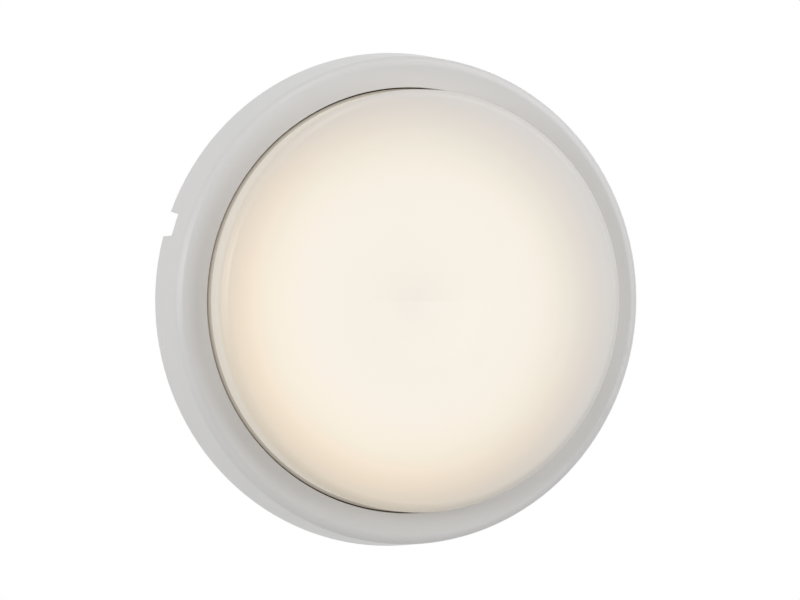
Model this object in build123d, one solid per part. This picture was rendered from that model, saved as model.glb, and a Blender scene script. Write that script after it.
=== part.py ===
from build123d import *
import math
import os

# Round opal wall light. Millimetres. The finished light stands against the wall plane y = 0,
# faces -Y, has +X to the right seen from the front and +Z up, and its axis is the Y axis.
# Every piece is drawn lying on its back: x to the right, y up the wall, z the height above
# the wall. It is stood up against the wall when it is written. Azimuths are counted in
# degrees from +X towards the top.

# Trim ring: the conical skirt, the rounded crest and the funnel down to the lip
lip_radius = 92.8
ring_width = 17.2
ring_wall = 2.2
skirt_draft = 8.8
funnel_slope = 12.7
crest_round = 3.6
lip_height = 24.0
lip_wall = 1.8
lip_depth = 4.4
lip_round = 0.35
ring_edge_round = 0.5
ring_inner_round = 1.0

# Cable notch in the back edge of the skirt
notch_azimuth = 162.4
notch_width = 11.2
notch_depth = 10.0
notch_draft = 4.0
notch_round = 0.8

# Grip blades of the ring and the spring clips that hold them
grip_count = 4
first_grip_azimuth = 45.0
grip_offset = 8.2
blade_length = 6.0
blade_thickness = 1.6
blade_tip_height = 5.0
clip_thickness = 0.5
clip_clearance = 0.05
clip_leaf_height = 8.0
clip_flare = 1.0
clip_flare_height = 1.6
pocket_wall = 1.6
pocket_height = 6.0
pocket_margin = 1.0

# Diffuser
lip_gap = 1.8
side_draft = 0.6
diffuser_wall = 2.2
diffuser_edge_height = 41.3
diffuser_crown = 1.0
diffuser_edge_round = 4.0
diffuser_inner_round = 2.0
diffuser_step_height = 21.4
diffuser_step = 0.7
collar_height = 22.7
collar_clearance = 0.5
collar_foot_round = 0.6
collar_edge_round = 0.25

# Twist lock: lugs on the diffuser's skirt, sloped ledges on the housing
lock_count = 4
first_lock_azimuth = 25.0
unlock_turn = 24.0
unlock_lift = 4.0
lug_width = 9.0
lug_height = 2.4
lug_rise = 0.2
lock_clearance = 0.3
lock_side_clearance = 0.35
pot_clearance = 0.45
stop_width = 2.0

# Seal under the diffuser's rim
seal_thickness = 2.0
seal_groove_depth = 0.8
seal_groove_clearance = 0.3
seal_round = 0.4

# Rear housing: plate, stepped pot and fixing flange
plate_thickness = 3.0
pot_wall = 2.2
pot_height = 19.0
shelf_height = 12.0
shelf_lip = 2.0
shelf_thickness = 2.0
shelf_wall = 2.2
flange_gap = 0.5
gusset_offset = 12.0
gusset_thickness = 1.6
gusset_height = 10.0
gusset_reach = 8.0

# Wall fixing slots, on the level line through the axis
fixing_offset = 8.2
fixing_slot_width = 4.8
fixing_slot_length = 8.8

# Foam gasket let into the back of the plate
gasket_reach = 0.4
gasket_width = 8.0
gasket_depth = 1.2
gasket_clearance = 0.1

# Side knock-out behind the notch
knockout_radius = 4.0
knockout_web = 1.0
knockout_margin = 3.0
cable_way_clearance = 0.4

# Rear cable grommet
grommet_x = 22.0
grommet_y = 52.0
grommet_bore_radius = 3.6
grommet_hole_radius = 6.0
grommet_flange_radius = 8.4
grommet_recess_depth = 1.2
grommet_inner_flange = 1.6
grommet_cone_height = 4.4
grommet_tip_wall = 1.0
grommet_clearance = 0.05

# Gear tray and its screws
tray_height = 18.0
tray_thickness = 1.0
tray_gap = 1.6
tray_rim_height = 4.0
tray_corner_round = 0.8
boss_count = 4
boss_inset = 7.0
boss_radius = 4.0
tray_screw_radius = 1.45
tray_screw_length = 10.0
screw_clearance = 0.05
through_clearance = 0.4

# Light-emitting board, a disc with a hole in the middle for its leads
board_radius = 62.0
board_hole_radius = 11.0
board_thickness = 1.6
board_screw_circle = 57.0
board_screw_count = 4
board_screw_radius = 1.4
board_screw_tip = 0.8
chip_ring_radii = (24.0, 38.0, 51.0)
chip_ring_counts = (8, 14, 20)
chip_length = 3.5
chip_width = 2.8
chip_height = 0.7
chip_lens_radius = 1.1
chip_lens_depth = 0.15

# Board connector, left of the hole, and the bushing that its leads pass
bushing_bore_radius = 3.6
bushing_wall = 1.4
bushing_flange = 1.3
bushing_flange_thickness = 1.0
connector_x = -20.5
connector_length = 9.0
connector_width = 8.0
connector_height = 3.6
connector_pitch = 4.0
connector_hole_height = 1.8
connector_hole_depth = 5.0
connector_release_size = 1.4

# Wires
lead_diameter = 1.6
mains_wire_diameter = 2.2
wire_hole_clearance = 0.15
lead_spread = 0.95
lead_rise_length = 14.0

# Driver
driver_x = 6.0
driver_y = -32.0
driver_length = 92.0
driver_width = 34.0
driver_wall = 1.4
driver_body_height = 12.0
driver_lid_thickness = 1.4
driver_lid_lip = 1.6
driver_lid_clearance = 0.15
driver_corner_round = 2.0
driver_ear_offset = 12.0
driver_ear_length = 7.0
driver_ear_width = 8.0
driver_ear_thickness = 1.6
driver_ear_height = 5.0
driver_window_width = 8.0
driver_window_height = 4.0
driver_window_sill = 5.2
driver_input_inset = 10.0
driver_output_inset = 8.0
driver_screw_radius = 1.35
driver_screw_length = 6.0
driver_standoff = 2.0
driver_standoff_radius = 2.0
driver_standoff_inset = 4.0
driver_board_thickness = 1.2
driver_board_gap = 0.8

# Driver components, placed from the ends of the case and from its long middle line
core_inset = 42.0
core_headroom = 0.8
core_length = 18.0
core_width = 16.0
core_limb = 3.4
core_bar_inset = 1.6
winding_headroom = 1.1
winding_clearance = 0.2
winding_lift = 0.3
winding_length = 10.4
winding_width = 13.0
capacitor_headroom = 0.8
capacitor_length = 12.0
input_capacitor_inset = 27.0
input_capacitor_offset = 8.0
output_capacitor_inset = 16.0
output_capacitor_offset = 7.5
film_inset = 20.0
film_offset = 8.0
film_length = 13.0
film_width = 5.0
film_headroom = 1.0
choke_inset = 22.0
choke_offset = 8.0
choke_radius = 3.8
choke_waist_radius = 2.6
choke_headroom = 1.2
choke_flange = 1.2
rectifier_inset = 35.0
rectifier_offset = 8.0
rectifier_length = 6.4
rectifier_width = 5.0
rectifier_height = 2.4
driver_terminal_length = 9.0
driver_terminal_width = 7.0
driver_terminal_gap = 0.3

# Mains terminal block
terminal_x = -34.0
terminal_y = 30.0
terminal_pitch = 9.0
terminal_poles = 3
terminal_length = 30.0
terminal_width = 20.0
terminal_height = 12.0
terminal_round = 0.8
terminal_ear_length = 7.0
terminal_ear_width = 8.0
terminal_ear_thickness = 3.0
terminal_screw_radius = 1.35
terminal_screw_depth = 1.6
entry_radius = 1.9
entry_depth = 7.0
outlet_depth = 5.0
entry_height = 5.4
funnel_radius = 2.8
funnel_depth = 1.2
contact_width = 4.0
contact_length = 12.0
contact_thickness = 0.8
contact_cavity_height = 3.0
contact_clearance = 0.15
button_length = 6.0
button_width = 5.0
button_height = 4.0
button_offset = 3.0
button_rise = 1.6
button_travel = 1.2
button_clearance = 0.15
button_round = 0.5
button_mark_width = 0.8
button_mark_depth = 0.3

# Cable clamp
clamp_x = 2.0
clamp_post_spacing = 17.0
clamp_post_radius = 2.8
clamp_post_height = 6.0
clamp_length = 25.0
clamp_width = 7.0
clamp_thickness = 4.5
clamp_arch_radius = 4.2
clamp_rib = 0.5
clamp_screw_radius = 1.35
clamp_screw_length = 9.0

# Earth point on the tray
earth_x = -62.0
earth_y = -28.0
earth_screw_radius = 1.9
tag_radius = 4.2
tag_thickness = 0.8
tag_barrel_length = 6.0
tag_barrel_wall = 0.5
nut_across_flats = 7.0
nut_height = 2.6


def turned(points, rounds=()):
    """Solid of revolution from a closed half section of (radius, height) points."""
    return revolve(Plane.XZ * rounded_face(make_face(Polyline(*points, close=True)), rounds), Axis.Z)


def rounded_face(face, rounds):
    for corner, radius in rounds:
        face = fillet(face.vertices().sort_by_distance((corner[0], corner[1], 0))[0], radius)
    return face


def disc(radius, low, high):
    return Pos(0, 0, low) * extrude(Circle(radius), high - low)


def tube(inner, outer, low, high):
    return Pos(0, 0, low) * extrude(Circle(outer) - Circle(inner), high - low)


def block(length, width, low, high):
    return Pos(0, 0, low) * extrude(Rectangle(length, width), high - low)


def soft_block(length, width, low, high, corner):
    return Pos(0, 0, low) * extrude(RectangleRounded(length, width, corner), high - low)


def around(azimuth, radius=0.0):
    """Place at an azimuth and radius, with local x pointing away from the axis."""
    return Rot(0, 0, azimuth) * Pos(radius, 0, 0)


def side_plane(azimuth, radius):
    """Plane across a radius: local x runs round the axis, local y is the height."""
    angle = math.radians(azimuth)
    outward = Vector(math.cos(angle), math.sin(angle), 0)
    return Plane(origin=outward * radius, x_dir=(-math.sin(angle), math.cos(angle), 0), z_dir=outward)


def side_prism(points, azimuth, inner, outer, rounds=()):
    face = rounded_face(make_face(Polyline(*points, close=True)), rounds)
    return extrude(side_plane(azimuth, inner) * face, outer - inner)


def evenly(count, first=0.0):
    return [first + 360.0 * step / count for step in range(count)]


def group(solids):
    return Compound(children=list(solids))


def pan_screw(shank_radius, length):
    """Pan head screw with a cross recess: seat at z = 0, shank down, head up."""
    head_radius = 1.95 * shank_radius
    head_height = 1.2 * shank_radius
    tip = 0.5 * shank_radius
    screw = turned(
        [(0, -length), (shank_radius - tip, -length), (shank_radius, tip - length), (shank_radius, 0),
         (head_radius, 0), (head_radius, head_height), (0, head_height)],
        [((head_radius, head_height), 0.7 * head_height)])
    recess = 0.6 * head_height
    for angle in (0, 90):
        arm = Rot(0, 0, angle) * block(2.2 * shank_radius, 0.45 * shank_radius, 0, head_height)
        screw -= Pos(0, 0, head_height - recess) * arm
    return screw


def bend_radii(points):
    """Largest arcs that fit between the straight runs of a wire."""
    runs = [end - start for start, end in zip(points, points[1:])]
    radii = []
    for before, after in zip(runs, runs[1:]):
        half_turn = math.radians(before.get_angle(after)) / 2
        radii.append(0.45 * min(before.length, after.length) / math.tan(half_turn))
    return radii


def wire(name, route, diameter):
    points = [Vector(*point) for point in route]
    radii = bend_radii(points)
    path = FilletPolyline(*points, radius=radii)
    solid = sweep(Plane(origin=path @ 0, z_dir=path % 0) * Circle(diameter / 2), path=path)
    print(f"{name}: length {path.length:.1f} mm, tightest bend {min(radii):.1f} mm")
    return solid


# Sizes that follow from the driving values

ring_back_radius = lip_radius + ring_width
taper = math.tan(math.radians(skirt_draft))
slope = math.tan(math.radians(funnel_slope))
ring_inner_radius = ring_back_radius - ring_wall / math.cos(math.radians(skirt_draft))
lip_underside = lip_height - ring_wall / math.cos(math.radians(funnel_slope))

side_radius = lip_radius - lip_gap
skirt_radius = side_radius - diffuser_step
skirt_inner_radius = skirt_radius - diffuser_wall
lug_radius = lip_radius - lock_side_clearance
collar_radius = lip_radius - collar_clearance
pot_radius = lug_radius + pot_clearance
pot_outer_radius = pot_radius + pot_wall
ledge_radius = skirt_radius + lock_side_clearance
lock_slope = unlock_lift / (math.radians(unlock_turn) * lug_radius)

groove_inner_radius = skirt_inner_radius - seal_groove_clearance
groove_outer_radius = skirt_radius + seal_groove_clearance
shelf_radius = groove_inner_radius - shelf_lip
seal_bottom = shelf_height - seal_groove_depth
rim_height = seal_bottom + seal_thickness
lug_bottom = rim_height + lug_rise
lug_top = lug_bottom + lug_height
ledge_underside = lug_top + lock_clearance

flange_radius = ring_inner_radius - plate_thickness * taper - flange_gap
grip_radius = lip_radius + grip_offset
fixing_radius = lip_radius + fixing_offset
gasket_outer_radius = shelf_radius + gasket_reach
gasket_inner_radius = gasket_outer_radius - gasket_width
tray_radius = shelf_radius - tray_gap
boss_circle_radius = tray_radius - boss_inset
tray_top = tray_height + tray_thickness
board_top = tray_top + board_thickness
knockout_height = plate_thickness + knockout_radius

clip_half_gap = blade_thickness / 2 + clip_clearance
clip_half_width = clip_half_gap + clip_thickness

driver_input_x = driver_input_inset - driver_length / 2
driver_output_x = driver_length / 2 - driver_output_inset
driver_floor = plate_thickness + driver_wall
driver_board_bottom = driver_floor + driver_standoff
driver_board_top = driver_board_bottom + driver_board_thickness
driver_rim = plate_thickness + driver_body_height
driver_room = driver_rim - driver_board_top
capacitor_radius = (driver_room - capacitor_headroom) / 2
driver_lead_height = plate_thickness + driver_window_sill + driver_window_height / 2
driver_terminal_top = driver_rim - driver_lid_lip - driver_terminal_gap
driver_terminal_face = driver_width / 2 - driver_wall - driver_board_gap
driver_terminal_spread = driver_terminal_length / 4

terminal_top = plate_thickness + terminal_height
pole_offsets = [terminal_pitch * (pole - (terminal_poles - 1) / 2) for pole in range(terminal_poles)]
wire_hole_radius = mains_wire_diameter / 2 + wire_hole_clearance
well_floor = terminal_top + button_rise - button_height - button_travel - button_clearance
button_centre_y = terminal_y + button_offset
terminal_ear_x = terminal_length / 2 + terminal_ear_length / 2

clamp_y = grommet_y
clamp_seat = plate_thickness + clamp_post_height


def ring_corner(skirt_at_wall, funnel_at_lip):
    """Where a skirt line and a funnel line of the trim ring meet."""
    radius = (skirt_at_wall - taper * (funnel_at_lip - lip_radius * slope)) / (1 + taper * slope)
    return radius, (skirt_at_wall - radius) / taper


def trim_ring():
    outer = ring_corner(ring_back_radius, lip_height)
    inner = ring_corner(ring_inner_radius, lip_underside)
    lip_bottom = lip_height - lip_depth
    lip_back = lip_radius + lip_wall
    ring = turned(
        [(ring_back_radius, 0), outer, (lip_radius, lip_height), (lip_radius, lip_bottom),
         (lip_back, lip_bottom), (lip_back, lip_underside + lip_wall * slope), inner,
         (ring_inner_radius, 0)],
        [(outer, crest_round), (inner, ring_inner_round), ((lip_radius, lip_height), lip_round),
         ((ring_back_radius, 0), ring_edge_round)])

    # Grip blades hang from the underside of the funnel
    mid_skirt = (ring_back_radius + ring_inner_radius) / 2
    mid_funnel = (lip_height + lip_underside) / 2
    mid = ring_corner(mid_skirt, mid_funnel)
    envelope = turned([(0, 0), (mid_skirt, 0), mid, (lip_radius, mid_funnel), (0, mid_funnel)])
    blade = block(blade_length, blade_thickness, blade_tip_height, mid[1])
    for azimuth in evenly(grip_count, first_grip_azimuth):
        ring += around(azimuth, grip_radius) * blade & envelope

    # Cable notch
    half = notch_width / 2
    half_top = half - notch_depth * math.tan(math.radians(notch_draft))
    notch = side_prism(
        [(-half, 0), (half, 0), (half_top, notch_depth), (-half_top, notch_depth)],
        notch_azimuth, pot_outer_radius, ring_back_radius + ring_wall,
        [((half_top, notch_depth), notch_round), ((-half_top, notch_depth), notch_round)])
    return ring - notch


def ring_clip():
    """Sprung U that grips one blade, drawn across its radius."""
    foot = plate_thickness
    leaf = foot + clip_leaf_height
    top = leaf + clip_flare_height
    right = [(clip_half_width, foot), (clip_half_width, leaf), (clip_half_width + clip_flare, top),
             (clip_half_gap + clip_flare, top), (clip_half_gap, leaf),
             (clip_half_gap, foot + clip_thickness)]
    left = [(-x, z) for x, z in reversed(right)]
    start = grip_radius - blade_length / 2
    return [side_prism(right + left, azimuth, start, start + blade_length)
            for azimuth in evenly(grip_count, first_grip_azimuth)]


def diffuser():
    edge_radius = side_radius - (diffuser_edge_height - lip_height) * math.tan(math.radians(side_draft))
    foot_radius = side_radius + (lip_height - collar_height) * math.tan(math.radians(side_draft))
    inner_edge = diffuser_edge_height - diffuser_wall

    def crown(radius, height):
        """Arc of a shallow sphere, from the edge to the axis."""
        sphere = (radius ** 2 + diffuser_crown ** 2) / (2 * diffuser_crown)
        centre = height + diffuser_crown - sphere
        angles = [share * math.asin(radius / sphere) for share in (1, 0.5, 0)]
        points = [(sphere * math.sin(angle), centre + sphere * math.cos(angle)) for angle in angles]
        return ThreePointArc(*points)

    outer_face = crown(edge_radius, diffuser_edge_height)
    inner_face = crown(skirt_inner_radius, inner_edge)
    sides = Polyline(
        (skirt_inner_radius, inner_edge), (skirt_inner_radius, rim_height), (skirt_radius, rim_height),
        (skirt_radius, diffuser_step_height), (collar_radius, diffuser_step_height),
        (collar_radius, collar_height), (foot_radius, collar_height), (edge_radius, diffuser_edge_height))
    axis_line = Line(outer_face @ 1, inner_face @ 1)
    section = rounded_face(
        make_face([*sides.edges(), outer_face, axis_line, inner_face]),
        [((edge_radius, diffuser_edge_height), diffuser_edge_round),
         ((foot_radius, collar_height), collar_foot_round), ((collar_radius, collar_height), collar_edge_round),
         ((skirt_inner_radius, inner_edge), diffuser_inner_round)])
    shell = revolve(Plane.XZ * section, Axis.Z)

    # Lugs with sloped tops
    half = lug_width / 2
    reach = tube((skirt_radius + skirt_inner_radius) / 2, lug_radius, lug_bottom, pot_height)
    for azimuth in evenly(lock_count, first_lock_azimuth):
        lug = side_prism(
            [(-half, lug_bottom), (half, lug_bottom), (half, lug_top + half * lock_slope),
             (-half, lug_top - half * lock_slope)],
            azimuth, skirt_inner_radius, pot_outer_radius)
        shell += lug & reach
    return shell


def diffuser_seal():
    top = rim_height
    return turned(
        [(skirt_inner_radius, seal_bottom), (skirt_radius, seal_bottom), (skirt_radius, top),
         (skirt_inner_radius, top)],
        [((skirt_inner_radius, top), seal_round), ((skirt_radius, top), seal_round)])


def boss(radius, pilot_radius, height):
    """Round screw boss on the plate with a blind pilot hole from its top."""
    post = disc(radius, plate_thickness, height)
    return post - disc(pilot_radius, plate_thickness, height)


def driver_ears():
    """Centres of the driver's two ears, at opposite corners."""
    reach = driver_length / 2 + driver_ear_length / 2
    return [(driver_x - reach, driver_y - driver_ear_offset),
            (driver_x + reach, driver_y + driver_ear_offset)]


def terminal_ears():
    return [(terminal_x - terminal_ear_x, terminal_y), (terminal_x + terminal_ear_x, terminal_y)]


def clamp_posts():
    half = clamp_post_spacing / 2
    return [(clamp_x, clamp_y - half), (clamp_x, clamp_y + half)]


def pot():
    """Plate, stepped wall with the seal shelf, and the outer flange, as one turned shell."""
    inner_foot = shelf_radius + shelf_wall
    shelf_under = shelf_height - shelf_thickness - seal_groove_depth
    return turned(
        [(0, 0), (inner_foot, 0), (inner_foot, shelf_under), (pot_radius, shelf_under), (pot_radius, 0),
         (flange_radius, 0), (flange_radius, plate_thickness), (pot_outer_radius, plate_thickness),
         (pot_outer_radius, pot_height), (pot_radius, pot_height), (pot_radius, shelf_height),
         (groove_outer_radius, shelf_height), (groove_outer_radius, seal_bottom),
         (groove_inner_radius, seal_bottom), (groove_inner_radius, shelf_height),
         (shelf_radius, shelf_height), (shelf_radius, plate_thickness), (0, plate_thickness)])


def locking_ledges():
    """Sloped ledges over the lugs, each with a stop that ends the closing turn."""
    half = lug_width / 2
    stop = half + lock_clearance
    reach = tube(ledge_radius, (pot_radius + pot_outer_radius) / 2, shelf_height, pot_height)
    ledges = []
    for azimuth in evenly(lock_count, first_lock_azimuth):
        ledge = side_prism(
            [(half, ledge_underside + half * lock_slope), (half, pot_height),
             (-stop - stop_width, pot_height), (-stop - stop_width, lug_bottom),
             (-stop, lug_bottom), (-stop, ledge_underside - stop * lock_slope)],
            azimuth, skirt_inner_radius, pot_outer_radius)
        ledges.append(ledge & reach)
    return ledges


def clip_pockets():
    """Moulded walls either side of each spring clip."""
    length = blade_length + 2 * pocket_margin
    centre = clip_half_width + pocket_wall / 2
    wall = block(length, pocket_wall, plate_thickness, plate_thickness + pocket_height)
    return [around(azimuth, grip_radius) * Pos(0, side * centre, 0) * wall
            for azimuth in evenly(grip_count, first_grip_azimuth) for side in (-1, 1)]


def gussets():
    """Small ribs between the pot wall and the flange, either side of each clip."""
    foot = plate_thickness
    start = pot_outer_radius - pot_wall / 2
    outline = make_face(Polyline(
        (start, foot), (pot_outer_radius + gusset_reach, foot), (pot_outer_radius, foot + gusset_height),
        (start, foot + gusset_height), close=True))
    rib = extrude(Plane.XZ * outline, gusset_thickness / 2, both=True)
    return [Rot(0, 0, azimuth + side * gusset_offset) * rib
            for azimuth in evenly(grip_count, first_grip_azimuth) for side in (-1, 1)]


def knockout():
    """Boss across the stepped wall and the blind hole in it, behind the notch."""
    half = knockout_radius + knockout_margin
    inner = shelf_radius + shelf_wall / 2
    outer = pot_outer_radius - pot_wall / 2
    top = shelf_height - seal_groove_depth
    boss_block = side_prism([(-half, 0), (half, 0), (half, top), (-half, top)],
                            notch_azimuth, inner, outer)
    bore = side_plane(notch_azimuth, shelf_radius + knockout_web) * Pos(0, knockout_height) \
        * Circle(knockout_radius)
    return boss_block, extrude(bore, pot_outer_radius - shelf_radius)


def base_housing():
    housing = pot()
    boss_block, bore = knockout()
    housing += boss_block
    tray_pilot = tray_screw_radius + screw_clearance
    for azimuth in evenly(boss_count):
        housing += around(azimuth, boss_circle_radius) * boss(boss_radius, tray_pilot, tray_height)
    for x, y in driver_ears():
        housing += Pos(x, y, 0) * boss(
            driver_ear_width / 2 - 1, driver_screw_radius + screw_clearance,
            plate_thickness + driver_ear_height)
    for x, y in clamp_posts():
        housing += Pos(x, y, 0) * boss(clamp_post_radius, clamp_screw_radius + screw_clearance, clamp_seat)
    for x, y in terminal_ears():
        housing -= Pos(x, y, 0) * disc(
            terminal_screw_radius + screw_clearance, plate_thickness - terminal_screw_depth - 0.2,
            plate_thickness)
    for piece in locking_ledges() + clip_pockets() + gussets():
        housing += piece

    # Cuts: gasket groove, wall slots, cable way, knock-out and grommet seat
    housing -= tube(gasket_inner_radius, gasket_outer_radius, 0, gasket_depth)
    slot = extrude(SlotOverall(fixing_slot_length, fixing_slot_width), plate_thickness)
    for side in (-1, 1):
        housing -= Pos(side * fixing_radius, 0, 0) * slot
    way = flange_radius - pot_outer_radius
    cable_way = block(2 * way, notch_width, 0, plate_thickness)
    housing -= around(notch_azimuth, pot_outer_radius + cable_way_clearance + way) * cable_way
    housing -= bore
    seat = disc(grommet_hole_radius, 0, plate_thickness) \
        + disc(grommet_flange_radius + 2 * grommet_clearance, 0, grommet_recess_depth)
    return housing - Pos(grommet_x, grommet_y, 0) * seat


def wall_gasket():
    return tube(gasket_inner_radius + gasket_clearance, gasket_outer_radius - gasket_clearance,
                0, gasket_depth)


def rear_grommet():
    neck = grommet_hole_radius - grommet_clearance
    flange_top = plate_thickness + grommet_inner_flange
    tip = flange_top + grommet_cone_height
    sleeve = turned(
        [(grommet_bore_radius, 0), (grommet_flange_radius, 0), (grommet_flange_radius, grommet_recess_depth),
         (neck, grommet_recess_depth), (neck, plate_thickness), (grommet_flange_radius, plate_thickness),
         (grommet_flange_radius, flange_top), (neck, flange_top),
         (grommet_bore_radius + grommet_tip_wall, tip), (grommet_bore_radius, tip)],
        [((grommet_flange_radius, flange_top), 0.6)])
    return Pos(grommet_x, grommet_y, 0) * sleeve


def board_screw_places():
    return [around(azimuth, board_screw_circle) for azimuth in evenly(board_screw_count, 45.0)]


def gear_tray():
    rim_top = tray_top + tray_rim_height
    inner = tray_radius - tray_thickness
    tray = turned(
        [(0, tray_height), (tray_radius, tray_height), (tray_radius, rim_top), (inner, rim_top),
         (inner, tray_top), (0, tray_top)],
        [((tray_radius, tray_height), 2 * tray_corner_round), ((inner, tray_top), tray_corner_round)])
    for azimuth in evenly(boss_count):
        tray -= around(azimuth, boss_circle_radius) * disc(
            tray_screw_radius + through_clearance, tray_height, tray_top)
    for place in board_screw_places():
        tray -= place * disc(board_screw_radius + screw_clearance, tray_height, tray_top)
    tray -= disc(bushing_bore_radius + bushing_wall, tray_height, tray_top)
    earth_hole = disc(earth_screw_radius + screw_clearance, tray_height, tray_top)
    return tray - Pos(earth_x, earth_y, 0) * earth_hole


def tray_screws():
    screw = Pos(0, 0, tray_top) * pan_screw(tray_screw_radius, tray_screw_length)
    return [around(azimuth, boss_circle_radius) * screw for azimuth in evenly(boss_count)]


def led_board():
    board = tube(board_hole_radius, board_radius, tray_top, board_top)
    for place in board_screw_places():
        board -= place * disc(board_screw_radius + through_clearance, tray_top, board_top)
    return board


def led_chips():
    chip = soft_block(chip_length, chip_width, board_top, board_top + chip_height, 0.3)
    chip -= disc(chip_lens_radius, board_top + chip_height - chip_lens_depth, board_top + chip_height)
    return [around(azimuth, radius) * chip
            for radius, count in zip(chip_ring_radii, chip_ring_counts)
            for azimuth in evenly(count, 180.0 / count)]


def board_screws():
    length = board_thickness + tray_thickness + board_screw_tip
    screw = Pos(0, 0, board_top) * pan_screw(board_screw_radius, length)
    return [place * screw for place in board_screw_places()]


def led_connector():
    top = board_top + connector_height
    body = soft_block(connector_length, connector_width, board_top, top, 0.5)
    hole_radius = lead_diameter / 2 + wire_hole_clearance
    for side in (-1, 1):
        offset = side * connector_pitch / 2
        mouth = Plane(origin=(connector_length / 2, offset, board_top + connector_hole_height),
                      z_dir=(-1, 0, 0))
        body -= extrude(mouth * Circle(hole_radius), connector_hole_depth)
        release = block(connector_release_size, connector_release_size, top - 0.8, top)
        body -= Pos(-connector_length / 5, offset, 0) * release
    return Pos(connector_x, 0, 0) * body


def lead_bushing():
    neck = bushing_bore_radius + bushing_wall - screw_clearance
    flange = neck + bushing_flange
    low = tray_height - bushing_flange_thickness
    high = tray_top + bushing_flange_thickness
    return turned(
        [(bushing_bore_radius, low), (flange, low), (flange, tray_height), (neck, tray_height),
         (neck, tray_top), (flange, tray_top), (flange, high), (bushing_bore_radius, high)],
        [((bushing_bore_radius, high), 0.4), ((flange, high), 0.4), ((bushing_bore_radius, low), 0.4)])


def at_driver(x=0.0, y=0.0):
    return Pos(driver_x + x, driver_y + y, 0)


def from_input(inset, y=0.0):
    """Place in the driver, counted from its input end."""
    return at_driver(inset - driver_length / 2, y)


def from_output(inset, y=0.0):
    return at_driver(driver_length / 2 - inset, y)


def driver_case():
    inside_length = driver_length - 2 * driver_wall
    inside_width = driver_width - 2 * driver_wall
    case = at_driver() * soft_block(
        driver_length, driver_width, plate_thickness, driver_rim, driver_corner_round)
    case -= at_driver() * block(inside_length, inside_width, driver_floor, driver_rim)
    sill = plate_thickness + driver_window_sill
    window = block(driver_window_width, 2 * driver_wall, sill, sill + driver_window_height)
    for x in (driver_input_x, driver_output_x):
        case -= at_driver(x, driver_width / 2) * window
    for x in (driver_standoff_inset - inside_length / 2, inside_length / 2 - driver_standoff_inset):
        for y in (driver_standoff_inset - inside_width / 2, inside_width / 2 - driver_standoff_inset):
            case += at_driver(x, y) * disc(driver_standoff_radius, driver_floor, driver_board_bottom)
    ear_low = plate_thickness + driver_ear_height
    for (x, y), inward in zip(driver_ears(), (1, -1)):
        ear = soft_block(driver_ear_length, driver_ear_width, ear_low, ear_low + driver_ear_thickness, 1.5)
        bridge = Pos(inward * driver_ear_length / 4, 0, 0) * block(
            driver_ear_length / 2 + driver_wall, driver_ear_width, ear_low, ear_low + driver_ear_thickness)
        hole = disc(driver_screw_radius + through_clearance, ear_low, ear_low + driver_ear_thickness)
        case += Pos(x, y, 0) * (ear + bridge - hole)
    return case


def driver_lid():
    lip = driver_wall + driver_lid_clearance
    length = driver_length - 2 * lip
    width = driver_width - 2 * lip
    lid = soft_block(driver_length, driver_width, driver_rim, driver_rim + driver_lid_thickness,
                     driver_corner_round)
    low = driver_rim - driver_lid_lip
    frame = block(length, width, low, driver_rim)
    frame -= block(length - 2 * driver_wall, width - 2 * driver_wall, low, driver_rim)
    return at_driver() * (lid + frame)


def driver_screws():
    seat = plate_thickness + driver_ear_height + driver_ear_thickness
    return [Pos(x, y, seat) * pan_screw(driver_screw_radius, driver_screw_length) for x, y in driver_ears()]


def driver_board():
    length = driver_length - 2 * driver_wall - 2 * driver_board_gap
    width = driver_width - 2 * driver_wall - 2 * driver_board_gap
    return at_driver() * block(length, width, driver_board_bottom, driver_board_top)


def driver_transformer():
    """Ferrite core: two blocks joined by end limbs, with a window for the winding."""
    top = driver_rim - core_headroom
    core = block(core_length, core_width, driver_board_top, top)
    window = block(core_length - 2 * core_limb, core_width, driver_board_top, top)
    bar = block(core_length, core_limb, driver_board_top + core_bar_inset, top - core_bar_inset)
    return from_output(core_inset) * (core - window + bar)


def driver_winding():
    coil = soft_block(winding_length, winding_width, driver_board_top + winding_lift,
                      driver_rim - winding_headroom, 2.5)
    inset = core_bar_inset - winding_clearance
    hollow = block(winding_length, core_limb + 2 * winding_clearance, driver_board_top + inset,
                   driver_rim - core_headroom - inset)
    return from_output(core_inset) * (coil - hollow)


def driver_capacitors():
    can = turned(
        [(0, 0), (capacitor_radius, 0), (capacitor_radius, capacitor_length), (0, capacitor_length)],
        [((capacitor_radius, capacitor_length), 0.6), ((capacitor_radius, 0), 0.6)])
    groove = tube(capacitor_radius - 0.4, capacitor_radius + 1, 1.6, 2.4)
    lying = Rot(0, 90, 0) * (can - groove)
    axis_height = driver_board_top + capacitor_radius
    places = (from_input(input_capacitor_inset, input_capacitor_offset),
              from_output(output_capacitor_inset + capacitor_length, -output_capacitor_offset))
    return [place * Pos(0, 0, axis_height) * lying for place in places]


def driver_film_capacitor():
    return from_input(film_inset, -film_offset) * soft_block(
        film_length, film_width, driver_board_top, driver_rim - film_headroom, 0.8)


def driver_choke():
    low = driver_board_top
    high = driver_rim - choke_headroom
    drum = turned(
        [(0, low), (choke_radius, low), (choke_radius, low + choke_flange),
         (choke_waist_radius, low + choke_flange), (choke_waist_radius, high - choke_flange),
         (choke_radius, high - choke_flange), (choke_radius, high), (0, high)])
    return from_input(choke_inset, choke_offset) * drum


def driver_rectifier():
    return from_input(rectifier_inset, -rectifier_offset) * soft_block(
        rectifier_length, rectifier_width, driver_board_top, driver_board_top + rectifier_height, 0.5)


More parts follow.
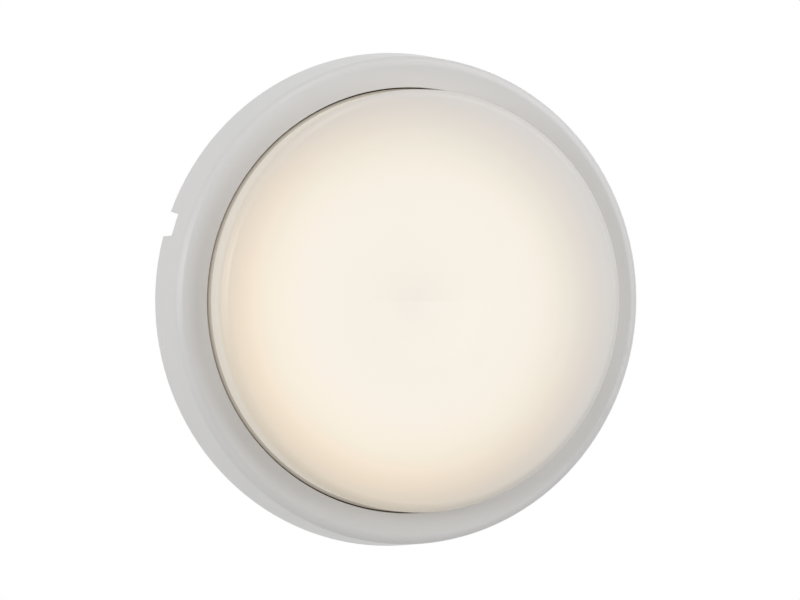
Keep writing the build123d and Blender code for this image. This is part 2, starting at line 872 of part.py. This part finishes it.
def driver_terminals():
    """Input and output blocks behind the two windows of the case."""
    solids = []
    for x, diameter in ((driver_input_x, mains_wire_diameter), (driver_output_x, lead_diameter)):
        body = soft_block(driver_terminal_length, driver_terminal_width, driver_board_top,
                          driver_terminal_top, 0.5)
        for offset in (-driver_terminal_spread, driver_terminal_spread):
            mouth = Plane(origin=(offset, driver_terminal_width / 2, driver_lead_height), z_dir=(0, -1, 0))
            body -= extrude(mouth * Circle(diameter / 2 + wire_hole_clearance), driver_terminal_width / 2)
        solids.append(at_driver(x, driver_terminal_face - driver_terminal_width / 2) * body)
    return solids


def terminal_block():
    body = Pos(terminal_x, terminal_y, 0) * soft_block(
        terminal_length, terminal_width, plate_thickness, terminal_top, terminal_round)
    for x, y in terminal_ears():
        ear = soft_block(terminal_ear_length, terminal_ear_width, plate_thickness,
                         plate_thickness + terminal_ear_thickness, 1.5)
        inward = math.copysign(terminal_ear_length / 4, terminal_x - x)
        bridge = Pos(inward, 0, 0) * block(
            terminal_ear_length / 2 + terminal_round, terminal_ear_width, plate_thickness,
            plate_thickness + terminal_ear_thickness)
        hole = disc(terminal_screw_radius + through_clearance, plate_thickness,
                    plate_thickness + terminal_ear_thickness)
        body += Pos(x, y, 0) * (ear + bridge - hole)
    height = plate_thickness + entry_height
    for offset in pole_offsets:
        x = terminal_x + offset
        supply = Plane(origin=(x, terminal_y + terminal_width / 2, height), z_dir=(0, -1, 0))
        outlet = Plane(origin=(x, terminal_y - terminal_width / 2, height), z_dir=(0, 1, 0))
        body -= extrude(supply * Circle(entry_radius), entry_depth)
        body -= loft([supply * Circle(funnel_radius), supply.offset(funnel_depth) * Circle(entry_radius)])
        body -= extrude(outlet * Circle(wire_hole_radius), outlet_depth)
        body -= Pos(x, terminal_y, 0) * block(
            contact_width + 2 * contact_clearance, contact_length + 2 * contact_clearance,
            plate_thickness, plate_thickness + contact_cavity_height)
        body -= Pos(x, button_centre_y, 0) * block(
            button_width + 2 * button_clearance, button_length + 2 * button_clearance,
            well_floor, terminal_top)
    return body


def terminal_contacts():
    """Bent copper strip in each pole's cavity."""
    low = plate_thickness
    half = contact_length / 2
    high = low + contact_cavity_height - contact_clearance
    outline = make_face(Polyline(
        (-half, low), (half, low), (half, high), (half - contact_thickness, high),
        (half - contact_thickness, low + contact_thickness),
        (contact_thickness - half, low + contact_thickness), (contact_thickness - half, high),
        (-half, high), close=True))
    strip = extrude(Plane.YZ * outline, contact_width / 2, both=True)
    return [Pos(terminal_x + offset, terminal_y, 0) * strip for offset in pole_offsets]


def release_button(offset):
    low = terminal_top + button_rise - button_height
    high = low + button_height
    button = soft_block(button_width, button_length, low, high, button_round)
    button -= block(button_width, button_mark_width, high - button_mark_depth, high)
    return Pos(terminal_x + offset, button_centre_y, 0) * button


def terminal_screws():
    seat = plate_thickness + terminal_ear_thickness
    length = terminal_ear_thickness + terminal_screw_depth
    return [Pos(x, y, seat) * pan_screw(terminal_screw_radius, length) for x, y in terminal_ears()]


def cable_clamp():
    bar = soft_block(clamp_width, clamp_length, clamp_seat, clamp_seat + clamp_thickness, 1.5)
    arch = extrude(Plane.YZ.offset(-clamp_width) * Pos(0, clamp_seat - 1) * Circle(clamp_arch_radius),
                   2 * clamp_width)
    bar -= arch
    for x in (-clamp_width / 4, clamp_width / 4):
        ridge = Plane.YZ.offset(x - clamp_rib / 2) * Pos(0, clamp_seat - 1) \
            * (Circle(clamp_arch_radius + clamp_rib) - Circle(clamp_arch_radius - clamp_rib))
        bar += extrude(ridge, clamp_rib) & block(clamp_width, clamp_length, clamp_seat,
                                                 clamp_seat + clamp_thickness)
    for y in (-clamp_post_spacing / 2, clamp_post_spacing / 2):
        bar -= Pos(0, y, 0) * disc(clamp_screw_radius + through_clearance, clamp_seat,
                                   clamp_seat + clamp_thickness)
    return Pos(clamp_x, clamp_y, 0) * bar


def clamp_screws():
    seat = clamp_seat + clamp_thickness
    return [Pos(x, y, seat) * pan_screw(clamp_screw_radius, clamp_screw_length) for x, y in clamp_posts()]


def earth_tag():
    """Ring tag on the underside of the tray, with a barrel for the wire."""
    low = tray_height - tag_thickness
    ring = disc(tag_radius, low, tray_height)
    neck = Pos(0, tag_radius, 0) * block(2 * tag_barrel_wall + mains_wire_diameter, 3.0, low, tray_height)
    outer = mains_wire_diameter / 2 + wire_hole_clearance + tag_barrel_wall
    start = tag_radius + 1
    mouth = Plane(origin=(0, start, tray_height - outer), z_dir=(0, 1, 0))
    barrel = extrude(mouth * Circle(outer), tag_barrel_length)
    bore = extrude(mouth * Circle(outer - tag_barrel_wall), tag_barrel_length)
    hole = disc(earth_screw_radius + screw_clearance, low, tray_height)
    return Pos(earth_x, earth_y, 0) * (ring + neck + barrel - bore - hole)


def earth_screw():
    length = tray_thickness + tag_thickness + nut_height
    return Pos(earth_x, earth_y, tray_top) * pan_screw(earth_screw_radius, length)


def earth_nut():
    high = tray_height - tag_thickness
    nut = Pos(0, 0, high - nut_height) * extrude(
        RegularPolygon(nut_across_flats / 2, 6, major_radius=False), nut_height)
    hole = disc(earth_screw_radius + screw_clearance, high - nut_height, high)
    return Pos(earth_x, earth_y, 0) * (nut - hole)


def mains_wires():
    """Live and neutral to the driver, earth to the tag under the tray."""
    height = plate_thickness + entry_height
    face = terminal_y - terminal_width / 2
    earth, neutral, live = [terminal_x + offset for offset in pole_offsets]
    driver_face = driver_y + driver_terminal_face
    wires = {}
    for name, x, side in (("wire_live", live, 1), ("wire_neutral", neutral, -1)):
        end = driver_x + driver_input_x + side * driver_terminal_spread
        wires[name] = wire(name, [
            (x, face + outlet_depth - 1, height), (x, face - 10, height),
            (end, driver_face + 10, driver_lead_height), (end, driver_face - 2.5, driver_lead_height),
        ], mains_wire_diameter)
    barrel = mains_wire_diameter / 2 + wire_hole_clearance + tag_barrel_wall
    tag_y = earth_y + tag_radius + tag_barrel_length
    wires["wire_earth"] = wire("wire_earth", [
        (earth, face + outlet_depth - 1, height), (earth, face - 9, height),
        (earth_x, tag_y + 9, tray_height - barrel), (earth_x, tag_y - 3, tray_height - barrel),
    ], mains_wire_diameter)
    return wires


def board_leads():
    """The two leads from the driver, up through the bushing, to the board connector."""
    mouth_height = board_top + connector_hole_height
    mouth = connector_x + connector_length / 2
    climb = (mouth_height - driver_lead_height) / lead_rise_length
    rise_end = -(mouth_height - (tray_height + tray_top) / 2) / climb
    rise_start = rise_end + lead_rise_length
    driver_face = driver_y + driver_terminal_face
    leads = {}
    for name, side in (("lead_plus", 1), ("lead_minus", -1)):
        start = driver_x + driver_output_x + side * driver_terminal_spread
        leads[name] = wire(name, [
            (start, driver_face - 2.5, driver_lead_height), (start, side * lead_spread, driver_lead_height),
            (rise_start, side * lead_spread, driver_lead_height),
            (rise_end, side * lead_spread, mouth_height),
            (mouth + 2, side * connector_pitch / 2, mouth_height),
            (mouth + 1 - connector_hole_depth, side * connector_pitch / 2, mouth_height),
        ], lead_diameter)
    return leads


def all_pieces():
    pieces = {
        "trim_ring": trim_ring(),
        "ring_clips": group(ring_clip()),
        "diffuser": diffuser(),
        "diffuser_seal": diffuser_seal(),
        "base_housing": base_housing(),
        "wall_gasket": wall_gasket(),
        "rear_grommet": rear_grommet(),
        "gear_tray": gear_tray(),
        "tray_screws": group(tray_screws()),
        "led_board": led_board(),
        "led_chips": group(led_chips()),
        "board_screws": group(board_screws()),
        "led_connector": led_connector(),
        "lead_bushing": lead_bushing(),
        "driver_case": driver_case(),
        "driver_lid": driver_lid(),
        "driver_screws": group(driver_screws()),
        "driver_board": driver_board(),
        "driver_transformer": driver_transformer(),
        "driver_winding": driver_winding(),
        "driver_capacitors": group(driver_capacitors()),
        "driver_film_capacitor": driver_film_capacitor(),
        "driver_choke": driver_choke(),
        "driver_rectifier": driver_rectifier(),
        "driver_terminals": group(driver_terminals()),
        "terminal_block": terminal_block(),
        "terminal_contacts": group(terminal_contacts()),
        "terminal_screws": group(terminal_screws()),
        "cable_clamp": cable_clamp(),
        "clamp_screws": group(clamp_screws()),
        "earth_tag": earth_tag(),
        "earth_screw": earth_screw(),
        "earth_nut": earth_nut(),
    }
    for name, offset in zip(("earth", "neutral", "live"), pole_offsets):
        pieces[f"release_button_{name}"] = release_button(offset)
    pieces.update(mains_wires())
    pieces.update(board_leads())
    return pieces


os.makedirs("parts", exist_ok=True)
upright = Rot(90, 0, 0)
for node, piece in all_pieces().items():
    export_step(upright * piece, f"parts/{node}.step")
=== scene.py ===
import math

import bpy
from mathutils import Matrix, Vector

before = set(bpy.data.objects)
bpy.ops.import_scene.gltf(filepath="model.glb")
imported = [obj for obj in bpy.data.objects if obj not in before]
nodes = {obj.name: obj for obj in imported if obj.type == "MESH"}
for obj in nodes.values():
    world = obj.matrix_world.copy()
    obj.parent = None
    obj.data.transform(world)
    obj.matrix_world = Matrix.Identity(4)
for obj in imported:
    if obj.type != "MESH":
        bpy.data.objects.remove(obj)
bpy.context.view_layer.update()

# Lengths are in metres. The light hangs on a wall at y = 0, faces -Y and has its axis on Y.


# Node helpers

# How much of a noise's range is stretched over the range of a value
wide = (0.1, 0.9)
middle = (0.3, 0.7)

noise_roughness = 0.55

# Sockets of the Mix node when it mixes colours
mix_factor, mix_first, mix_second, mix_result = 0, 6, 7, 2


class Recipe:
    """A node material in the making. Patterns are in the object's own metres."""

    def __init__(self, name):
        self.material = bpy.data.materials.new(name)
        self.material.use_nodes = True
        self.tree = self.material.node_tree
        self.shader = self.tree.nodes["Principled BSDF"]
        self.place = self.tree.nodes.new("ShaderNodeTexCoord").outputs["Object"]

    def add(self, kind, **settings):
        node = self.tree.nodes.new("ShaderNode" + kind)
        for key, value in settings.items():
            setattr(node, key, value)
        return node

    def link(self, source, target):
        self.tree.links.new(source, target)

    def feed(self, socket, source):
        self.link(source, self.shader.inputs[socket])

    def set(self, **values):
        for key, value in values.items():
            self.shader.inputs[key.replace("_", " ")].default_value = value

    def noise(self, scale, detail=3.0, place=None):
        node = self.add("TexNoise")
        node.inputs["Scale"].default_value = scale
        node.inputs["Detail"].default_value = detail
        node.inputs["Roughness"].default_value = noise_roughness
        self.link(place or self.place, node.inputs["Vector"])
        return node.outputs["Fac"]

    def math(self, operation, first, second):
        node = self.add("Math", operation=operation)
        for socket, value in zip(node.inputs, (first, second)):
            if isinstance(value, (int, float)):
                socket.default_value = value
            else:
                self.link(value, socket)
        return node.outputs[0]

    def spread(self, value, low, high, new_low=0.0, new_high=1.0, smooth=False):
        node = self.add("MapRange", interpolation_type="SMOOTHSTEP" if smooth else "LINEAR")
        limits = {"From Min": low, "From Max": high, "To Min": new_low, "To Max": new_high}
        for socket, number in limits.items():
            node.inputs[socket].default_value = number
        self.link(value, node.inputs["Value"])
        return node.outputs["Result"]

    def ramp(self, value, stops, easing="LINEAR"):
        node = self.add("ValToRGB")
        node.color_ramp.interpolation = easing
        elements = node.color_ramp.elements
        while len(elements) < len(stops):
            elements.new(0.5)
        for element, (position, colour) in zip(elements, stops):
            element.position = position
            element.color = (*colour, 1.0)
        self.link(value, node.inputs["Fac"])
        return node.outputs["Color"]

    def mix(self, factor, first, second):
        node = self.add("Mix", data_type="RGBA")
        pairs = ((mix_factor, factor), (mix_first, first), (mix_second, second))
        for index, value in pairs:
            if isinstance(value, tuple):
                node.inputs[index].default_value = (*value, 1.0)
            else:
                self.link(value, node.inputs[index])
        return node.outputs[mix_result]

    def radius(self, place):
        """Distance from the Y axis."""
        flat = self.add("VectorMath", operation="MULTIPLY")
        self.link(place, flat.inputs[0])
        flat.inputs[1].default_value = (1.0, 0.0, 1.0)
        length = self.add("VectorMath", operation="LENGTH")
        self.link(flat.outputs[0], length.inputs[0])
        return length.outputs["Value"]

    def sheen(self, pattern, part, low, high):
        """Roughness that follows a pattern between two values."""
        self.feed("Roughness", self.spread(pattern, *part, low, high))

    def relief(self, height, depth):
        """Bumps that follow a pattern, as deep as stated."""
        node = self.add("Bump")
        node.inputs["Strength"].default_value = 1.0
        node.inputs["Distance"].default_value = depth
        self.link(height, node.inputs["Height"])
        self.feed("Normal", node.outputs["Normal"])


def shade(colour, factor):
    return tuple(min(1.0, channel * factor) for channel in colour)


# Plastics, rubber, metal

flow_scale = 38.0
moulded_sheen_scale = 60.0
moulded_sheen_swing = 0.04
moulded_ior = 1.5


def moulded(name, colour, rough=0.42, vary=0.03, grain=1500.0, depth=0.00002):
    """Moulded plastic: fine grain, faint flow clouds and uneven sheen."""
    r = Recipe(name)
    clouds = r.noise(flow_scale, 2.0)
    r.feed("Base Color", r.mix(clouds, shade(colour, 1 - vary), shade(colour, 1 + vary)))
    r.sheen(r.noise(moulded_sheen_scale, 1.0), wide,
            rough - moulded_sheen_swing, rough + moulded_sheen_swing)
    r.relief(r.noise(grain, 2.0), depth)
    r.set(IOR=moulded_ior)
    return r.material


dust_scale = 120.0
dust_part = (0.45, 0.75)
dust_lightens = 1.6
soft_sheen_scale = 300.0
soft_sheen_swing = 0.08


def soft(name, colour, rough=0.72, pores=900.0, depth=0.00006):
    """Rubber or foam: matt, with small pores and a dusty variation."""
    r = Recipe(name)
    dust_and_groove_shade = r.spread(r.noise(dust_scale, 5.0), *dust_part)
    r.feed("Base Color", r.mix(dust_and_groove_shade, colour, shade(colour, dust_lightens)))
    r.sheen(r.noise(soft_sheen_scale), middle, rough - soft_sheen_swing, rough + soft_sheen_swing)
    r.relief(r.noise(pores, 3.0), depth)
    return r.material


line_dark, line_light = 0.9, 1.08
line_smooths, line_roughens = 0.07, 0.09


def metal(name, colour, rough=0.28, grain=(900.0, 900.0, 900.0), depth=0.00001):
    """Plated or rolled metal: uneven sheen, and rolling lines where the grain is stretched."""
    r = Recipe(name)
    stretch = r.add("Mapping")
    stretch.inputs["Scale"].default_value = grain
    r.link(r.place, stretch.inputs["Vector"])
    lines = r.noise(1.0, 3.0, place=stretch.outputs["Vector"])
    r.feed("Base Color", r.mix(lines, shade(colour, line_dark), shade(colour, line_light)))
    r.sheen(lines, middle, rough - line_smooths, rough + line_roughens)
    r.relief(lines, depth)
    r.set(Metallic=1.0)
    return r.material


# The lit diffuser

glow_strength = 1.0
glow_centre = (-0.005, 0.0, 0.0)
glow_reach = 0.098

# The light's colour by radius, on the warmer side and on the plainer one
warm_glow = [
    (0.000, (0.380, 0.335, 0.285)), (0.022, (0.410, 0.375, 0.315)),
    (0.045, (0.450, 0.398, 0.335)), (0.058, (0.456, 0.393, 0.301)),
    (0.066, (0.434, 0.365, 0.255)), (0.074, (0.405, 0.300, 0.180)),
    (0.082, (0.290, 0.205, 0.105)), (0.090, (0.165, 0.128, 0.075)),
    (0.098, (0.090, 0.085, 0.070))]
plain_glow = [
    (0.000, (0.380, 0.335, 0.285)), (0.022, (0.390, 0.358, 0.295)),
    (0.045, (0.383, 0.346, 0.284)), (0.058, (0.362, 0.321, 0.252)),
    (0.066, (0.308, 0.280, 0.213)), (0.074, (0.245, 0.216, 0.170)),
    (0.082, (0.190, 0.162, 0.143)), (0.090, (0.135, 0.127, 0.128)),
    (0.098, (0.100, 0.105, 0.115))]

# The plainer side is this far up from +X, and the two blend between these distances
plain_turn = math.radians(40.0)
blend_from, blend_to = -0.090, 0.090

# The side wall's glow colour by its distance from y = 0: painted light rising with depth where
# the ring's lip shades the wall, then painted shade falling off at its foot
wall_glow_painted_light_and_shade = [
    (0.037, (0.255, 0.215, 0.152)), (0.034, (0.285, 0.248, 0.195)),
    (0.030, (0.295, 0.265, 0.225)), (0.027, (0.318, 0.290, 0.245)),
    (0.025, (0.355, 0.330, 0.280)), (0.0238, (0.310, 0.280, 0.230)),
    (0.0229, (0.150, 0.130, 0.105)), (0.021, (0.050, 0.045, 0.035))]
wall_front, wall_back = 0.038, 0.020

# Where the face's light gives way to the side wall's, on Y
edge_front, edge_back = -0.0390, -0.0365

opal_white = (0.528, 0.508, 0.478)
opal_cloud_scale = 30.0
opal_cloud_swing = 0.012
opal_sheen_scale = 90.0
opal_smooth, opal_rough = 0.27, 0.33
opal_relief_scale = 350.0
opal_relief_depth = 0.000002
opal_ior = 1.49

# Painted shade on the collar, at the foot of the side wall in the groove under the ring's lip: by
# Y and by radius
groove_painted_shade = (0.220, 0.195, 0.168)
groove_shade_front, groove_shade_back = -0.0236, -0.0228
groove_shade_inner, groove_shade_outer = 0.0909, 0.0921


def opal():
    """Lit opal moulding. The light behind it thins towards the rim, more warmly on the lower
    left. The side wall's glow rises with depth as painted light where the ring's lip shades it,
    down to the collar, then falls off as painted shade; the collar carries painted shade towards
    the groove."""
    r = Recipe("opal")
    shift = r.add("VectorMath", operation="SUBTRACT")
    r.link(r.place, shift.inputs[0])
    shift.inputs[1].default_value = glow_centre
    share = r.spread(r.radius(shift.outputs[0]), 0.0, glow_reach)
    warm, plain = [
        r.ramp(share, [(radius / glow_reach, colour) for radius, colour in stops], "CARDINAL")
        for stops in (warm_glow, plain_glow)]
    apart = r.add("SeparateXYZ")
    r.link(r.place, apart.inputs[0])
    x, y, z = apart.outputs
    across = r.math("ADD", r.math("MULTIPLY", x, math.cos(plain_turn)),
                    r.math("MULTIPLY", z, math.sin(plain_turn)))
    face = r.mix(r.spread(across, blend_from, blend_to, smooth=True), warm, plain)
    # Painted light and shade: the side wall's glow rises with depth under the ring's lip and
    # falls off at its foot.
    wall = r.ramp(r.spread(y, -wall_front, -wall_back),
                  [((wall_front - height) / (wall_front - wall_back), colour)
                   for height, colour in wall_glow_painted_light_and_shade])
    r.feed("Emission Color", r.mix(r.spread(y, edge_front, edge_back, smooth=True), face, wall))
    r.set(Emission_Strength=glow_strength)
    white = r.mix(r.noise(opal_cloud_scale, 2.0), shade(opal_white, 1 - opal_cloud_swing),
                  shade(opal_white, 1 + opal_cloud_swing))
    # Painted shade: the collar darkens outward and deeper, into the groove under the ring's lip.
    dust_and_groove_shade = r.math("MULTIPLY", r.spread(r.radius(r.place), groove_shade_inner, groove_shade_outer),
                  r.spread(y, groove_shade_front, groove_shade_back))
    r.feed("Base Color", r.mix(dust_and_groove_shade, white, groove_painted_shade))
    r.sheen(r.noise(opal_sheen_scale, 1.0), wide, opal_smooth, opal_rough)
    r.relief(r.noise(opal_relief_scale, 1.0), opal_relief_depth)
    r.set(IOR=opal_ior)
    return r.material


# Earth wire and boards

earth_yellow = (0.70, 0.55, 0.02)
earth_green = (0.03, 0.24, 0.05)
stripe_from, stripe_to = -0.22, -0.18


def two_tone_wire():
    """Earth insulation: a yellow stripe along the green."""
    r = Recipe("insulation_green_yellow")
    split = r.add("SeparateXYZ")
    r.link(r.add("NewGeometry").outputs["Normal"], split.inputs[0])
    side = r.math("ADD", split.outputs["X"], split.outputs["Y"])
    r.feed("Base Color", r.mix(r.spread(side, stripe_from, stripe_to), earth_yellow, earth_green))
    r.sheen(r.noise(500.0), middle, 0.32, 0.42)
    r.relief(r.noise(900.0), 0.00001)
    return r.material


def circuit(name, mask, copper, scale):
    """Printed board: copper tracks just visible under the solder mask."""
    r = Recipe(name)
    bricks = r.add("TexBrick", offset=0.5)
    bricks.inputs["Scale"].default_value = scale
    bricks.inputs["Mortar Size"].default_value = 0.03
    turn = r.add("Mapping")
    turn.inputs["Rotation"].default_value = (math.pi / 2, 0.0, 0.0)
    r.link(r.place, turn.inputs["Vector"])
    r.link(turn.outputs["Vector"], bricks.inputs["Vector"])
    tracks = bricks.outputs["Fac"]
    r.feed("Base Color", r.mix(tracks, mask, copper))
    r.sheen(r.noise(300.0), middle, 0.28, 0.40)
    r.relief(tracks, 0.00003)
    return r.material


# Finishes, by node

ring_grey = (0.645, 0.637, 0.633)
zinc = metal("zinc_steel", (0.62, 0.63, 0.66), rough=0.30)
finishes = {
    "trim_ring": moulded("ring_plastic", ring_grey, rough=0.30, vary=0.012,
                         grain=700.0, depth=0.000003),
    "diffuser": opal(),
    "base_housing": moulded("housing_plastic", (0.018, 0.018, 0.019), rough=0.55, vary=0.08,
                            grain=1100.0, depth=0.00003),
    "diffuser_seal": soft("seal_rubber", (0.012, 0.012, 0.012)),
    "wall_gasket": soft("gasket_foam", (0.022, 0.022, 0.023), rough=0.9,
                        pores=420.0, depth=0.0003),
    "rear_grommet": soft("grommet_rubber", (0.016, 0.016, 0.016), rough=0.6),
    "lead_bushing": soft("bushing_rubber", (0.016, 0.016, 0.016), rough=0.6),
    "ring_clips": metal("spring_steel", (0.50, 0.48, 0.44), rough=0.32,
                        grain=(200.0, 2200.0, 200.0)),
    "gear_tray": moulded("white_metal", (0.80, 0.80, 0.78), rough=0.38, vary=0.02,
                         grain=700.0, depth=0.00003),
    "tray_screws": zinc,
    "board_screws": zinc,
    "driver_screws": zinc,
    "terminal_screws": zinc,
    "clamp_screws": zinc,
    "earth_screw": zinc,
    "earth_nut": zinc,
    "led_board": circuit("board_white", (0.84, 0.84, 0.82), (0.76, 0.76, 0.73), scale=45.0),
    "led_chips": moulded("chip_phosphor", (0.86, 0.62, 0.12), rough=0.35, vary=0.06),
    "led_connector": moulded("connector_white", (0.80, 0.79, 0.73), rough=0.35),
    "driver_case": moulded("driver_plastic", (0.72, 0.72, 0.70), rough=0.45),
    "driver_lid": moulded("driver_lid_plastic", (0.73, 0.73, 0.71), rough=0.45),
    "driver_board": circuit("board_green", (0.02, 0.13, 0.04), (0.10, 0.26, 0.08), scale=120.0),
    "driver_transformer": soft("ferrite", (0.03, 0.03, 0.033), rough=0.55,
                               pores=1200.0, depth=0.00005),
    "driver_winding": moulded("winding_tape", (0.72, 0.48, 0.05), rough=0.30),
    "driver_capacitors": moulded("capacitor_sleeve", (0.02, 0.022, 0.04), rough=0.25),
    "driver_film_capacitor": moulded("film_yellow", (0.72, 0.45, 0.05), rough=0.35),
    "driver_choke": soft("choke_ferrite", (0.035, 0.033, 0.033), rough=0.55,
                         pores=1200.0, depth=0.00005),
    "driver_rectifier": moulded("chip_black", (0.015, 0.015, 0.016), rough=0.50),
    "driver_terminals": moulded("terminal_green", (0.04, 0.26, 0.10), rough=0.35),
    "terminal_block": moulded("terminal_plastic", (0.66, 0.66, 0.64), rough=0.42),
    "terminal_contacts": metal("contact_copper", (0.80, 0.50, 0.32), rough=0.30),
    "release_button_live": moulded("button_brown", (0.13, 0.05, 0.02), rough=0.35),
    "release_button_neutral": moulded("button_blue", (0.02, 0.09, 0.45), rough=0.35),
    "release_button_earth": moulded("button_green", (0.03, 0.28, 0.05), rough=0.35),
    "cable_clamp": moulded("clamp_plastic", (0.03, 0.03, 0.03), rough=0.50),
    "earth_tag": metal("tag_metal", (0.72, 0.66, 0.50), rough=0.32),
    "wire_live": moulded("insulation_brown", (0.13, 0.05, 0.02), rough=0.35),
    "wire_neutral": moulded("insulation_blue", (0.01, 0.08, 0.50), rough=0.35),
    "wire_earth": two_tone_wire(),
    "lead_plus": moulded("insulation_red", (0.45, 0.01, 0.01), rough=0.35),
    "lead_minus": moulded("insulation_black", (0.012, 0.012, 0.012), rough=0.35),
}
for name, material in finishes.items():
    for material_slot in nodes[name].material_slots:
        material_slot.material = material


# Camera

def direction(azimuth, elevation):
    """Unit vector, azimuth degrees to the right of the part's front and elevation degrees up."""
    turn = math.radians(azimuth)
    rise = math.radians(elevation)
    return Vector((math.sin(turn) * math.cos(rise), -math.cos(turn) * math.cos(rise),
                   math.sin(rise)))


def hang(name, data, away, distance):
    """Put a camera or lamp out in a direction, looking back at the origin."""
    thing = bpy.data.objects.new(name, data)
    thing.location = away * distance
    thing.rotation_euler = (-away).to_track_quat("-Z", "Y").to_euler()
    bpy.context.scene.collection.objects.link(thing)
    return thing


view_azimuth = -18.97
view_elevation = 1.0
view_distance = 0.930
focal_pixels = 2083.3
frame_width, frame_height = 800, 600
axis_pixel = (397.0, 299.8)

lens = bpy.data.cameras.new("camera")
lens.sensor_width = 36.0
lens.lens = focal_pixels / frame_width * lens.sensor_width
lens.shift_x = (frame_width / 2 - axis_pixel[0]) / frame_width
lens.shift_y = (axis_pixel[1] - frame_height / 2) / frame_width
lens.clip_start = 0.01
bpy.context.scene.camera = hang("camera", lens, direction(view_azimuth, view_elevation),
                                view_distance)


# Lamps: name, azimuth, elevation, diameter, power

lamp_distance = 1.2
lamps = [
    ("left", -85.0, 5.0, 0.9, 3.0),
    ("left_front", -46.0, 8.0, 0.5, 2.5),
    ("front_up", -12.0, 50.0, 0.4, 1.2),
    ("right_up", 50.0, 40.0, 0.9, 2.7),
    ("right_front", 40.0, 5.0, 0.9, 2.85),
]
for name, azimuth, elevation, size, power in lamps:
    light = bpy.data.lights.new(name, "AREA")
    light.shape = "DISK"
    light.size = size
    light.energy = power
    hang(name, light, direction(azimuth, elevation), lamp_distance)


# World and floor

ambient = (0.50, 0.50, 0.50)
open_white = (1.0, 1.0, 1.0)
floor_white = (0.90, 0.90, 0.89)
floor_rough = 0.9
floor_glow = 0.9
floor_height = -1.2
floor_half = 4.0


def background_rays(tree):
    """One for the rays that look at the background: camera, glossy and transmission rays."""
    path = tree.nodes.new("ShaderNodeLightPath")
    total = path.outputs["Is Camera Ray"]
    for kind in ("Is Glossy Ray", "Is Transmission Ray"):
        either = tree.nodes.new("ShaderNodeMath")
        either.operation = "MAXIMUM"
        tree.links.new(total, either.inputs[0])
        tree.links.new(path.outputs[kind], either.inputs[1])
        total = either.outputs[0]
    return total


surroundings = bpy.data.worlds.new("surroundings")
surroundings.use_nodes = True
bpy.context.scene.world = surroundings
tree = surroundings.node_tree
seen = tree.nodes.new("ShaderNodeMix")
seen.data_type = "RGBA"
seen.inputs[mix_first].default_value = (*ambient, 1.0)
seen.inputs[mix_second].default_value = (*open_white, 1.0)
tree.links.new(background_rays(tree), seen.inputs[mix_factor])
tree.links.new(seen.outputs[mix_result], tree.nodes["Background"].inputs["Color"])

# The floor is paint under the light, and mostly plain white for the rays that look at it
floor_finish = bpy.data.materials.new("floor_paint")
floor_finish.use_nodes = True
tree = floor_finish.node_tree
paint = tree.nodes["Principled BSDF"]
paint.inputs["Base Color"].default_value = (*floor_white, 1.0)
paint.inputs["Roughness"].default_value = floor_rough
glow = tree.nodes.new("ShaderNodeEmission")
glow.inputs["Color"].default_value = (*open_white, 1.0)
glow_share = tree.nodes.new("ShaderNodeMath")
glow_share.operation = "MULTIPLY"
glow_share.inputs[1].default_value = floor_glow
blend = tree.nodes.new("ShaderNodeMixShader")
tree.links.new(background_rays(tree), glow_share.inputs[0])
tree.links.new(glow_share.outputs[0], blend.inputs[0])
tree.links.new(paint.outputs[0], blend.inputs[1])
tree.links.new(glow.outputs[0], blend.inputs[2])
tree.links.new(blend.outputs[0], tree.nodes["Material Output"].inputs["Surface"])

corners = [(x * floor_half, y * floor_half, floor_height)
           for x, y in ((-1, -1), (1, -1), (1, 1), (-1, 1))]
floor_mesh = bpy.data.meshes.new("floor")
floor_mesh.from_pydata(corners, [], [(0, 1, 2, 3)])
floor_mesh.materials.append(floor_finish)
floor = bpy.data.objects.new("floor", floor_mesh)
bpy.context.scene.collection.objects.link(floor)

bpy.context.scene.view_settings.view_transform = "Standard"
